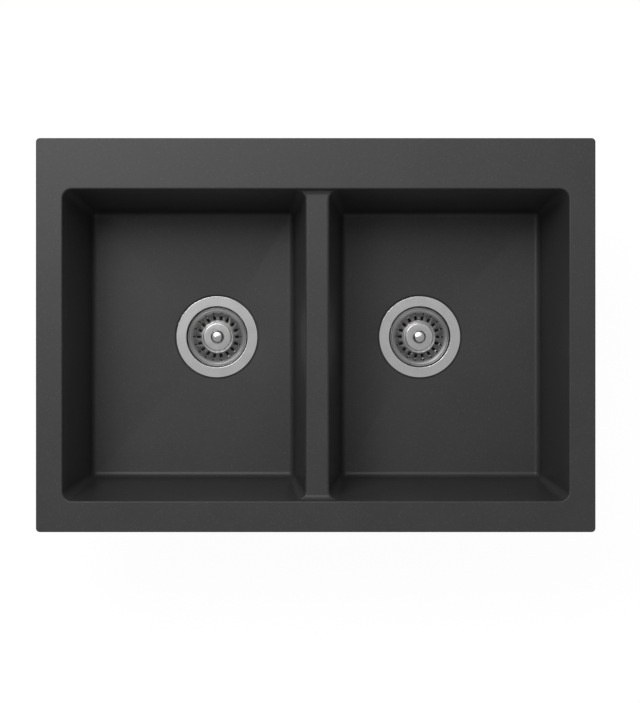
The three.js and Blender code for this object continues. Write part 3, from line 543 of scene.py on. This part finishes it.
def turned(name, outline, reach=0.3, count=RINGS_ROUND, swell=None):
    """A closed outline of (radius, height) turned about Z, with its corners softened. swell gives how far
    each point of the grid is pushed out, from its radius, its height and the angle."""
    line = softened(outline, reach)
    turn = np.linspace(0, 2 * math.pi, count, endpoint=False)[None, :]
    radius, height = line[:, :1], line[:, 1:]
    if swell is not None:
        radius = np.maximum(radius + swell(radius, height, turn), 0)
    points = np.stack([radius * np.cos(turn), radius * np.sin(turn), height + 0 * turn], axis=-1)
    return piece_from(name, points, grid_quads(len(line), count, True).reshape(-1, 4).tolist())


def dull_rubber():
    """Black rubber with the fine pitting of a pressed mould and a bloom of pale dust in patches."""
    rubber = Finish("seal_rubber", Specular_IOR_Level=0.3)
    where = rubber.add("ShaderNodeTexCoord", output="Object")
    bloom = rubber.add("ShaderNodeTexNoise", None, {"Vector": where, "Scale": 120.0, "Detail": 4.0})
    pits = rubber.add("ShaderNodeTexNoise", None, {"Vector": where, "Scale": 2500.0, "Detail": 1.0})
    colour = rubber.shade(bloom, grey(0.010), grey(0.030, 0.01))
    return rubber.wear(colour, 0.62 + 0.25 * bloom, pits, 0.02)


rubber = dull_rubber()
flange_seal = turned("flange_seal", [(45.4, -2.6), (54.6, -2.6), (54.6, -1.45), (45.4, -1.45)])
seat_seal = turned("seat_seal", [(45.4, -15), (55, -15), (55, -12), (45.4, -12)], 0.6)
both_strainers(flange_seal, "flange_seal", rubber)
both_strainers(seat_seal, "seat_seal", rubber)


# -------------------------------------------------------------------------------------------------- baskets
# The basket lifts out by its knob. It is pressed from thin stainless sheet: a stepped rim, a cone with
# eighteen slots that taper outwards between rounded lands, and a dome in the middle that carries the cap.

BASKET_SLOTS, SLOT_INNER, SLOT_TOP, INNER_SLOT_WIDTH, OUTER_SLOT_WIDTH = 18, 22.4, -10.8, 4.8, 1.4
BASKET_SHEET, LAND_SWELL = 0.9, 1.5

basket_face = [(3.4, -14), (18.7, -14), (19.7, -15.2), (20.7, -14.7), (21.8, -15.6), (21.8, -29),
               (26.2, -26.2), (30.4, -19.5), (33.1, -10.8), (34.0, -10.0), (36.6, -8.7), (36.9, -9.0),
               (38.7, -8.0), (39.4, -6.9), (40, -7.6)]
bends = [0, 0.4, 0.6, 0.6, 0.6, 0.5, 3.0, 4.0, 1.0, 0.5, 0.15, 0.15, 0.4, 0.4, 0]
basket_line, marks = bent_line(basket_face, bends, 0.7)
slotted = (basket_line[:, 0] >= SLOT_INNER) & (basket_line[:, 1] <= SLOT_TOP)
start, end = marks[slotted].min(), marks[slotted].max()
along = np.clip((marks - start) / (end - start), 0, 1)
widest = (OUTER_SLOT_WIDTH + (INNER_SLOT_WIDTH - OUTER_SLOT_WIDTH) * (1 - along) ** 1.8) / 2
from_end = np.clip(np.minimum(marks - start, end - marks), 0, None)
half_width = np.sqrt(widest ** 2 - (widest - np.minimum(from_end, widest)) ** 2)
land_swell = LAND_SWELL * np.sin(math.pi * along) ** 0.8
basket = pierced_sheet("basket", basket_line, np.arcsin(half_width / basket_line[:, 0]), BASKET_SLOTS, 8,
                       land_swell, BASKET_SHEET)
pressed = spun_steel("pressed_steel", 0.58, 0.25, 0.35, 0.002, metal=0.86)
both_strainers(basket, "basket", pressed, lifts=True)


# --------------------------------------------------------------------------------------- caps, knobs, stems
# A polished plate with a rolled edge lies on the dome, and the mushroom knob that lifts the basket is screwed
# down on it. The stem runs from the knob into the socket of the centre screw and keeps the basket upright.

KNOB_TOP, DOME_RADIUS, DOME_SPREAD = -2.0, 7.2, 38.0


def polished_steel():
    """Turned and buffed steel: nearly smooth, with faint smears and hairline rings."""
    steel = Finish("polished_steel", Metallic=1.0)
    where, radius, _ = drain_coordinates(steel)
    rings = steel.add("ShaderNodeTexNoise", {"noise_dimensions": "1D"},
                      {"W": radius, "Scale": 4200.0, "Detail": 2.0})
    smear = steel.add("ShaderNodeTexNoise", None, {"Vector": where, "Scale": 140.0, "Detail": 3.0})
    colour = steel.shade(smear, grey(0.52, 0.003), grey(0.60, 0.003))
    return steel.wear(colour, 0.14 + 0.08 * smear + 0.04 * rings, rings, 0.002)


def zinc_plate():
    """Bright zinc on steel: a faint yellow and blue cast in small patches, and a mottled gloss."""
    zinc = Finish("zinc_steel", Metallic=1.0)
    where = zinc.add("ShaderNodeTexCoord", output="Object")
    cast = zinc.add("ShaderNodeTexNoise", None, {"Vector": where, "Scale": 260.0, "Detail": 3.0})
    spangle = zinc.add("ShaderNodeTexVoronoi", None, {"Vector": where, "Scale": 1400.0}, "Color")
    colour = zinc.shade(cast, (0.50, 0.53, 0.56, 1), (0.60, 0.58, 0.50, 1))
    return zinc.wear(colour, 0.28 + 0.16 * spangle + 0.10 * cast, spangle, 0.004)


polished, zinc = polished_steel(), zinc_plate()
cap = turned("cap", [(3.5, -14), (19.0, -14), (19.3, -13.4), (19.3, -12.5), (18.3, -11.4), (3.5, -11.4)],
             [0.2, 0.3, 0.3, 0.5, 0.9, 0.2])
dome = [(r, KNOB_TOP - r ** 2 / DOME_SPREAD) for r in np.linspace(DOME_RADIUS, 0, 13)]
skirt = [(3.5, -11.4), (5.6, -11.4), (4.9, -10.2), (4.9, -7.8), (8.0, -6.6), (8.7, -5.4), (8.4, -4.4)]
knob_reach = [0.1, 0.4, 0.6, 1.0, 0.8, 0.7, 0.8] + [0.0] * len(dome) + [0, 0.3]
knob = turned("knob", skirt + dome + [(0, -6.7), (3.5, -6.7)], knob_reach)
stem = turned("stem", [(0, -32.7), (2.3, -32.7), (3.1, -31.1), (3.1, -7.0), (0, -7.0)],
              [0, 0.4, 0.6, 0.2, 0], 32)
both_strainers(cap, "basket_cap", polished, lifts=True)
both_strainers(knob, "knob", polished, lifts=True)
both_strainers(stem, "stem", zinc, lifts=True)


# -------------------------------------------------------------------------------------------- stopper seals
# The rubber disc under each basket. Its thin lip flexes down onto the cup's bottom and closes the outlet.

stopper = turned("stopper", [(8.7, -31.6), (24.0, -31.6), (27.6, -33.6), (29.4, -33.7), (29.2, -32.8),
                             (27.4, -30.1), (8.7, -30.1)], [0.3, 1.5, 0.8, 0.2, 0.3, 1.2, 0.3])
both_strainers(stopper, "stopper_seal", rubber, lifts=True)


# --------------------------------------------------------------------------------- wastes, washers and nuts
# Under each bowl hangs an injection-moulded waste: a flange against the seat seal, a funnel round the cup and
# a threaded outlet, with a spoked hub for the centre screw. A ribbed nut holds the trap against a washer.

WASTE_ROUND = 120
OUTLET_RADIUS, THREAD_PITCH, THREAD_DEPTH, THREAD_TOP, THREAD_FOOT = 24.0, 3.0, 1.1, -61.0, -83.4
HUB_TOP, HUB_BOTTOM, HUB_RADIUS, SPOKES, SPOKE_WIDTH = -48.5, -63.5, 7.0, 3, 3.0
NUT_RIBS, NUT_RIB_HEIGHT, RIB_TOP, RIB_FOOT, RIB_FADE = 8, 1.6, -71.6, -88.6, 1.2


def moulded_plastic():
    """Black polypropylene from a spark-eroded mould: a fine matt texture with faint flow clouds."""
    plastic = Finish("waste_plastic", Specular_IOR_Level=0.45)
    where = plastic.add("ShaderNodeTexCoord", output="Object")
    texture = plastic.add("ShaderNodeTexNoise", None, {"Vector": where, "Scale": 1800.0, "Detail": 2.0})
    flow = plastic.add("ShaderNodeTexNoise", None,
                       {"Vector": where, "Scale": 45.0, "Detail": 3.0, "Distortion": 0.6})
    colour = plastic.shade(flow, grey(0.011), grey(0.024))
    return plastic.wear(colour, 0.40 + 0.14 * flow + 0.08 * texture, texture, 0.03)


def outlet_thread(radius, height, turn):
    """The outlet's thread: the outside drops below its crest by a wave that climbs one pitch a turn."""
    wave = 0.5 - 0.5 * np.cos(2 * math.pi * (height / THREAD_PITCH - turn / (2 * math.pi)))
    fade = np.clip((THREAD_TOP - height) / 2, 0, 1) * np.clip((height - THREAD_FOOT) / 0.8, 0, 1)
    return np.where(np.abs(radius - OUTLET_RADIUS) < 0.01, -THREAD_DEPTH * wave * fade, 0)


def nut_ribs(radius, height, turn):
    """Grip ribs: the outside swells in eight narrow rounded bumps."""
    bump = np.clip(np.cos(turn * NUT_RIBS) * 1.6 - 0.6, 0, 1) ** 0.7
    tall = np.clip((RIB_TOP - height) / RIB_FADE, 0, 1) * np.clip((height - RIB_FOOT) / RIB_FADE, 0, 1)
    return np.where(radius > 28.5, NUT_RIB_HEIGHT * bump * tall, 0)


plastic = moulded_plastic()
outlet = [(OUTLET_RADIUS, height) for height in np.arange(-84.0, -56.0, 0.375)]
waste_outline = outlet + [(24, -56), (44.5, -40), (47.5, -19), (56, -19), (56, -15), (44.5, -15), (41.5, -40),
                          (21, -56), (21, -84)]
waste_reach = [0.0] * len(outlet) + [2.5, 3.0, 0.8, 0.6, 0.5, 0.5, 3.0, 2.5, 0.4]
waste = turned("waste", waste_outline, waste_reach, WASTE_ROUND, outlet_thread)
hub = [drum("hub", HUB_RADIUS, HUB_BOTTOM, HUB_TOP, count=48)]
spoke = [(0, HUB_BOTTOM), (22.5, HUB_BOTTOM), (22.5, -56), (HUB_RADIUS, HUB_TOP), (0, HUB_TOP)]
hub += [prism(f"spoke{i}", spoke, SPOKE_WIDTH, degrees=i * 360 / SPOKES) for i in range(SPOKES)]
waste = carved(waste, hub, [drum("screw_hole", 3.35, HUB_BOTTOM - 1, HUB_TOP + 1, count=32)])
washer = turned("outlet_washer", [(21, -87), (24, -87), (24, -84), (21, -84)])
sides = [(29.4, height) for height in np.arange(-88.8, -70.8, 0.75)]
nut_outline = [(21, -89.4), (28.8, -89.4)] + sides + [(28.8, -70.4), (24.4, -70.4), (24.4, -87), (21, -87)]
nut_reach = [0.3, 0.5] + [0.0] * len(sides) + [0.5, 0.6, 0.2, 0.2]
nut = turned("nut", nut_outline, nut_reach, 192, nut_ribs)
both_strainers(waste, "waste_body", plastic)
both_strainers(washer, "outlet_washer", rubber)
both_strainers(nut, "outlet_nut", plastic)


# ------------------------------------------------------------------------------------------- centre screws
# The long zinc-plated screw that pulls the cup and the waste together. Its head has a socket for the stem.

SCREW_RADIUS, SCREW_PITCH, SCREW_DEPTH, SCREW_THREAD_TOP = 3.0, 1.0, 0.3, -37.0


def screw_thread(radius, height, turn):
    """A rolled thread: a rounded wave in the shank that climbs one pitch a turn, away from the head."""
    wave = 0.5 - 0.5 * np.cos(2 * math.pi * (height / SCREW_PITCH - turn / (2 * math.pi)))
    fade = np.clip((SCREW_THREAD_TOP - height) / 1.5, 0, 1)
    return np.where(np.abs(radius - SCREW_RADIUS) < 0.01, -SCREW_DEPTH * wave * fade, 0)


shank = [(SCREW_RADIUS, height) for height in np.arange(-63.1, -34.2, 0.25)]
screw_head = [(SCREW_RADIUS, -34), (6.6, -34), (6.6, -27), (3.5, -27), (3.5, -33), (0, -33)]
screw_outline = [(0, -63.5), (2.6, -63.5)] + shank + screw_head
screw_reach = [0, 0.2] + [0.0] * len(shank) + [0.1, 0.3, 0.6, 0.2, 0.1, 0]
centre_screw = turned("centre_screw", screw_outline, screw_reach, 48, screw_thread)
both_strainers(centre_screw, "centre_screw", zinc)


# ------------------------------------------------------------------------------------------------- rim seal
# A strip of closed-cell foam pressed into the groove under the rim, flush with it, all the way round.

SEAL_GAP = 0.3


def closed_cell_foam():
    """Dark foam: cells of about half a millimetre that show as shallow pits, with painted shade darkening
    each pit, and soft patches.
    """
    foam = Finish("seal_foam", Specular_IOR_Level=0.2)
    where = foam.add("ShaderNodeTexCoord", output="Object")
    cells = foam.add("ShaderNodeTexVoronoi", None, {"Vector": where, "Scale": 1900.0}, "Distance")
    patch = foam.add("ShaderNodeTexNoise", None, {"Vector": where, "Scale": 90.0, "Detail": 3.0})
    # The colour darkens towards each cell's middle, where the bump sinks a pit: painted shade. The patches
    # are the foam's own tone.
    colour = foam.shade(0.7 * cells + 0.4 * patch, grey(0.028), grey(0.07))
    return foam.wear(colour, 0.85 + 0.1 * patch, cells, 0.12)


foam = closed_cell_foam()
outer = SEAL_GROOVE_INSET + SEAL_GAP
inner = SEAL_GROOVE_INSET + SEAL_GROOVE_WIDTH - SEAL_GAP
insets = np.array([outer + 0.5, outer, outer, inner, inner, inner - 0.5])
levels = np.array([0.0, 0.5, SEAL_GROOVE_DEPTH - SEAL_GAP, SEAL_GROOVE_DEPTH - SEAL_GAP, 0.5, 0.0])
seal_rings = rim_plan(insets, np.maximum(RIM_CORNER - insets, SHARPEST_CORNER), levels)
seal = piece_from("foam_seal", seal_rings, grid_quads(6, seal_rings.shape[1], True).reshape(-1, 4).tolist())
finished(seal, foam, "sink", ["rim_seal"])


# ------------------------------------------------------------------------------- clamp inserts and screws
# Eight nylon inserts are pressed into the bosses under the rim, and a hexagon-headed screw in each carries a
# clamp. The screws' shanks are threaded from the head up.

CLAMP_TOP, CLAMP_BOTTOM, TOE_TOP, COLLAR_BOTTOM, CLAMP_BORE = -34.3, -36.3, -30.3, -13.3, 2.85
CLAMP_SCREW, CLAMP_PITCH, CLAMP_THREAD_DEPTH, CLAMP_THREAD_FOOT, HEX_RADIUS = 2.5, 0.8, 0.28, -36.0, 4.4


def natural_nylon():
    """Undyed nylon: warm off-white with cloudy flow marks and a soft gloss."""
    nylon = Finish("nylon", Specular_IOR_Level=0.4)
    where = nylon.add("ShaderNodeTexCoord", output="Object")
    cloud = nylon.add("ShaderNodeTexNoise", None, {"Vector": where, "Scale": 320.0, "Detail": 3.0})
    colour = nylon.shade(cloud, (0.60, 0.57, 0.50, 1), (0.72, 0.70, 0.64, 1))
    return nylon.wear(colour, 0.42 + 0.2 * cloud, cloud, 0.02)


def clamp_thread(radius, height, turn):
    """The same rolled thread on a clamp's screw, at a finer pitch, clear of its head."""
    wave = 0.5 - 0.5 * np.cos(2 * math.pi * (height / CLAMP_PITCH - turn / (2 * math.pi)))
    fade = np.clip(height - CLAMP_THREAD_FOOT, 0, 1)
    return np.where(np.abs(radius - CLAMP_SCREW) < 0.01, -CLAMP_THREAD_DEPTH * wave * fade, 0)


def hexagon(radius, height, turn):
    """Draws the head's round outline in to a hexagon: the distance to a flat, over the cosine from it."""
    from_flat = (turn + math.pi / 6) % (math.pi / 3) - math.pi / 6
    flat = HEX_RADIUS * math.cos(math.pi / 6) / np.cos(from_flat)
    return np.where(np.abs(radius - HEX_RADIUS) < 0.35, np.minimum(flat - radius, 0), 0)


nylon = natural_nylon()
insert_outline = [(CLAMP_BORE, COLLAR_BOTTOM), (5.6, COLLAR_BOTTOM), (5.6, -12.3), (INSERT_RADIUS, -12.3),
                  (INSERT_RADIUS, -2), (CLAMP_BORE, -2)]
insert = turned("insert", insert_outline, [0.2, 0.3, 0.2, 0.1, 0.4, 0.2], 48)
thread_rows = [(CLAMP_SCREW, height) for height in np.arange(-36.4, -5.0, 0.2)]
collar = [(0, -37.8), (5.2, -37.8), (5.2, -36.6), (CLAMP_SCREW, -36.6)]
screw_outline = collar + thread_rows + [(2.3, -4.5), (0, -4.5)]
screw_reach = [0, 0.3, 0.3, 0.1] + [0.0] * len(thread_rows) + [0.3, 0]
screw = turned("clamp_screw", screw_outline, screw_reach, 36, clamp_thread)
head = turned("clamp_head", [(0, -41.2), (3.9, -41.2), (HEX_RADIUS, -40.7), (HEX_RADIUS, -37.2), (0, -37.2)],
              [0, 0.4, 0.4, 0.1, 0], 72, hexagon)
screw = carved(screw, [head], [])
for number, (x, y, outward) in enumerate(CLAMPS, 1):
    insert_piece = settled(insert, f"insert_{number}_piece", x, y)
    screw_piece = settled(screw, f"clamp_screw_{number}_piece", x, y, 0, outward)
    finished(insert_piece, nylon, "sink", [f"clamp_insert_{number}"])
    finished(screw_piece, zinc, "sink", [f"clamp_screw_{number}"])
for template in (insert, screw):
    bpy.data.objects.remove(template)


# -------------------------------------------------------------------------------------------------- clamps
# Eight swivelling clamps, stamped and bent from 2 mm plated strip: a foot that stands against the boss, a
# strip under the screw, and a toothed toe that bites the worktop's underside once it is turned outwards.

CLAMP_SHEET, CLAMP_WIDTH, CLAMP_FOOT_WIDTH, CLAMP_HEEL, CLAMP_REACH = 2.0, 13.0, 8.0, -6.5, 24.0
TEETH, TOOTH_DEPTH = 3, 1.5


def clamp_strip():
    """The strip's outer face: a bent line in X and Z, carried across a width that narrows at the foot, with
    the toe's edge notched between the teeth. The inner face lies a sheet's thickness inside the bends."""
    corners = [(CLAMP_HEEL, COLLAR_BOTTOM - 0.3), (CLAMP_HEEL, CLAMP_BOTTOM), (CLAMP_REACH, CLAMP_BOTTOM),
               (CLAMP_REACH, TOE_TOP)]
    line, _ = bent_line(corners, [0, 3.4, 3.4, 0], 0.8)
    along = np.gradient(line, axis=0)
    inward = np.column_stack([-along[:, 1], along[:, 0]]) / np.linalg.norm(along, axis=1)[:, None]
    foot = np.clip((line[:, 1] - CLAMP_TOP - 1.5) / 2.5, 0, 1) * (line[:, 0] < 0)
    toe = np.clip((line[:, 1] - CLAMP_TOP) / (TOE_TOP - CLAMP_TOP), 0, 1) * (line[:, 0] > 0)
    width = CLAMP_WIDTH + (CLAMP_FOOT_WIDTH - CLAMP_WIDTH) * foot
    y = width[:, None] / 2 * np.linspace(-1, 1, 40 * TEETH + 1)
    phase = (y / CLAMP_WIDTH * TEETH + TEETH / 2) % 1.0
    from_notch = np.minimum(phase, 1 - phase) * CLAMP_WIDTH / TEETH
    notch = TOOTH_DEPTH * np.clip(1 - from_notch / 1.1, 0, 1) * (np.abs(y) < CLAMP_WIDTH / 2 - 1.2)
    faces = []
    for depth in (0, CLAMP_SHEET):
        x, z = (line + depth * inward).T[:, :, None]
        faces.append(np.stack([x + 0 * y, y, z - notch * toe[:, None]], axis=-1))
    quads = grid_quads(*y.shape, wrap_columns=False)
    return piece_from("clamp", faces, sheet_quads(quads, y.size).tolist())


strip = carved(clamp_strip(), [], [drum("clamp_bore", CLAMP_BORE, CLAMP_BOTTOM - 1, CLAMP_TOP + 1, count=32)])
for number, (x, y, outward) in enumerate(CLAMPS, 1):
    clamp = settled(strip, f"clamp_{number}_piece", x, y, 0, outward - 90)
    finished(clamp, zinc, f"swivel_clamp_{number}", [f"clamp_{number}"])
bpy.data.objects.remove(strip)


# ---------------------------------------------------------------------------------- floor, light and camera
# A pale studio floor below the sink, three soft lamps above its rear edge and its rear left corner, and a
# camera far above the rim that looks straight down.


def seen_directly(nodes, in_metal):
    """How much of a background a ray shows: all of it to the camera, a share of it in reflections and
    through glass, none of it as light on the object."""
    camera_ray, glossy, through = [nodes.add("ShaderNodeLightPath", output=f"Is {kind} Ray")
                                   for kind in ("Camera", "Glossy", "Transmission")]
    return camera_ray.maths("MAXIMUM", camera_ray, in_metal * (glossy + through))


FLOOR_LEVEL, FLOOR_REACH, FLOOR_WHITE, FLOOR_GLOW = -0.29, 9.0, 0.90, 1.07
IN_METAL, AMBIENT = 0.30, 0.26
corners = [(x * FLOOR_REACH, y * FLOOR_REACH, FLOOR_LEVEL) for x, y in ((-1, -1), (1, -1), (1, 1), (-1, 1))]
floor_mesh = bpy.data.meshes.new("floor")
floor_mesh.from_pydata(corners, [], [(0, 1, 2, 3)])
floor = bpy.data.objects.new("floor", floor_mesh)
bpy.context.collection.objects.link(floor)
pale = Finish("pale_floor", Base_Color=grey(0.8), Roughness=0.9, Specular_IOR_Level=0.0)
white = pale.add("ShaderNodeEmission", None, {"Color": grey(1.0), "Strength": FLOOR_GLOW})
lit = Signal(pale, pale.shader.outputs[0])
share = FLOOR_WHITE * seen_directly(pale, IN_METAL)
shown = pale.add("ShaderNodeMixShader", None, {0: share, 1: lit, 2: white})
from_below = pale.add("ShaderNodeNewGeometry", output="Backfacing")
clear = pale.add("ShaderNodeBsdfTransparent")
both = pale.add("ShaderNodeMixShader", None, {0: from_below, 1: shown, 2: clear})
pale.feed(pale.tree.nodes["Material Output"].inputs["Surface"], both)
floor_mesh.materials.append(pale.material)

world = bpy.data.worlds.new("studio")
bpy.context.scene.world = world
world.use_nodes = True
room = Nodes(world.node_tree)
background = world.node_tree.nodes["Background"]
room.feed(background.inputs["Color"], grey(1.0))
room.feed(background.inputs["Strength"], AMBIENT + (1.0 - AMBIENT) * seen_directly(room, IN_METAL))


def softbox(name, place, size, power):
    """A square lamp, turned to face the sink. It lights the object and shows in it, not to the camera."""
    lamp = bpy.data.lights.new(name, "AREA")
    lamp.shape, lamp.size, lamp.energy = "SQUARE", size, power
    box = bpy.data.objects.new(name, lamp)
    box.location = place
    box.rotation_euler = (-Vector(place)).to_track_quat("-Z", "Y").to_euler()
    box.visible_camera = False
    bpy.context.collection.objects.link(box)


# Each lamp's place and width in metres, and its power in watts.
LAMPS = {"corner": ((-0.9, 0.7, 2.2), 0.8, 11.8),
         "rear": ((-0.5, 1.2, 2.4), 1.2, 25.5),
         "rear_right": ((0.3, 0.9, 2.0), 1.0, 3.5)}
for name, lamp in LAMPS.items():
    softbox(name, *lamp)

CAMERA_PLACE, CAMERA_SENSOR, CAMERA_LENS = (0.0067, -0.0062, 2.723), 36.0, 109.6
CAMERA_SHIFT, CAMERA_CLIP = (-0.0014, -0.0164), (0.1, 50)
camera_data = bpy.data.cameras.new("camera")
camera = bpy.data.objects.new("camera", camera_data)
camera.location = CAMERA_PLACE
camera_data.sensor_width = CAMERA_SENSOR
camera_data.lens = CAMERA_LENS
camera_data.shift_x, camera_data.shift_y = CAMERA_SHIFT
camera_data.clip_start, camera_data.clip_end = CAMERA_CLIP
bpy.context.collection.objects.link(camera)
bpy.context.scene.camera = camera
bpy.context.scene.view_settings.view_transform = "Standard"
